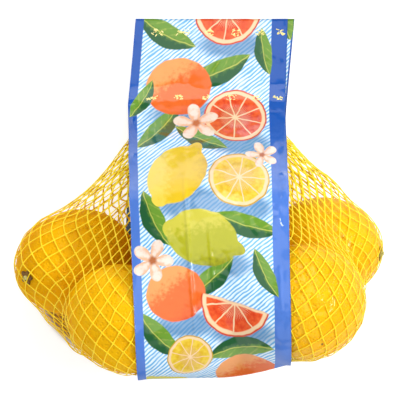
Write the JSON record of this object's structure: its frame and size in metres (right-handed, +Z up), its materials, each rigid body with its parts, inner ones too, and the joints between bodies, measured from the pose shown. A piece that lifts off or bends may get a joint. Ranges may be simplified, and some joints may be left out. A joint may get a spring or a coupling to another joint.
{
  "type": "net of lemons",
  "caption": "Knitted net bag of lemons lying on its back, gathered into a printed film band with a flat header at one end.",
  "frame": {"origin": "on the ground, at the middle of the bag's outline seen from above", "axes": "+Z up out of the printed front, +Y from the foot fold to the header, +X to the right when the header points up the page"},
  "size_m": [0.2219, 0.2184, 0.1257],
  "materials": {
    "net": "yellow knitted polyethylene net",
    "film": "glossy printed polyethylene film, blue borders round a fruit pattern",
    "peel": "waxy yellow peel with fine dimples",
    "stem": "dry brown-green stem button"
  },
  "bodies": {
    "root": {"net": "net", "film_band": "film"}
  },
  "joints": []
}
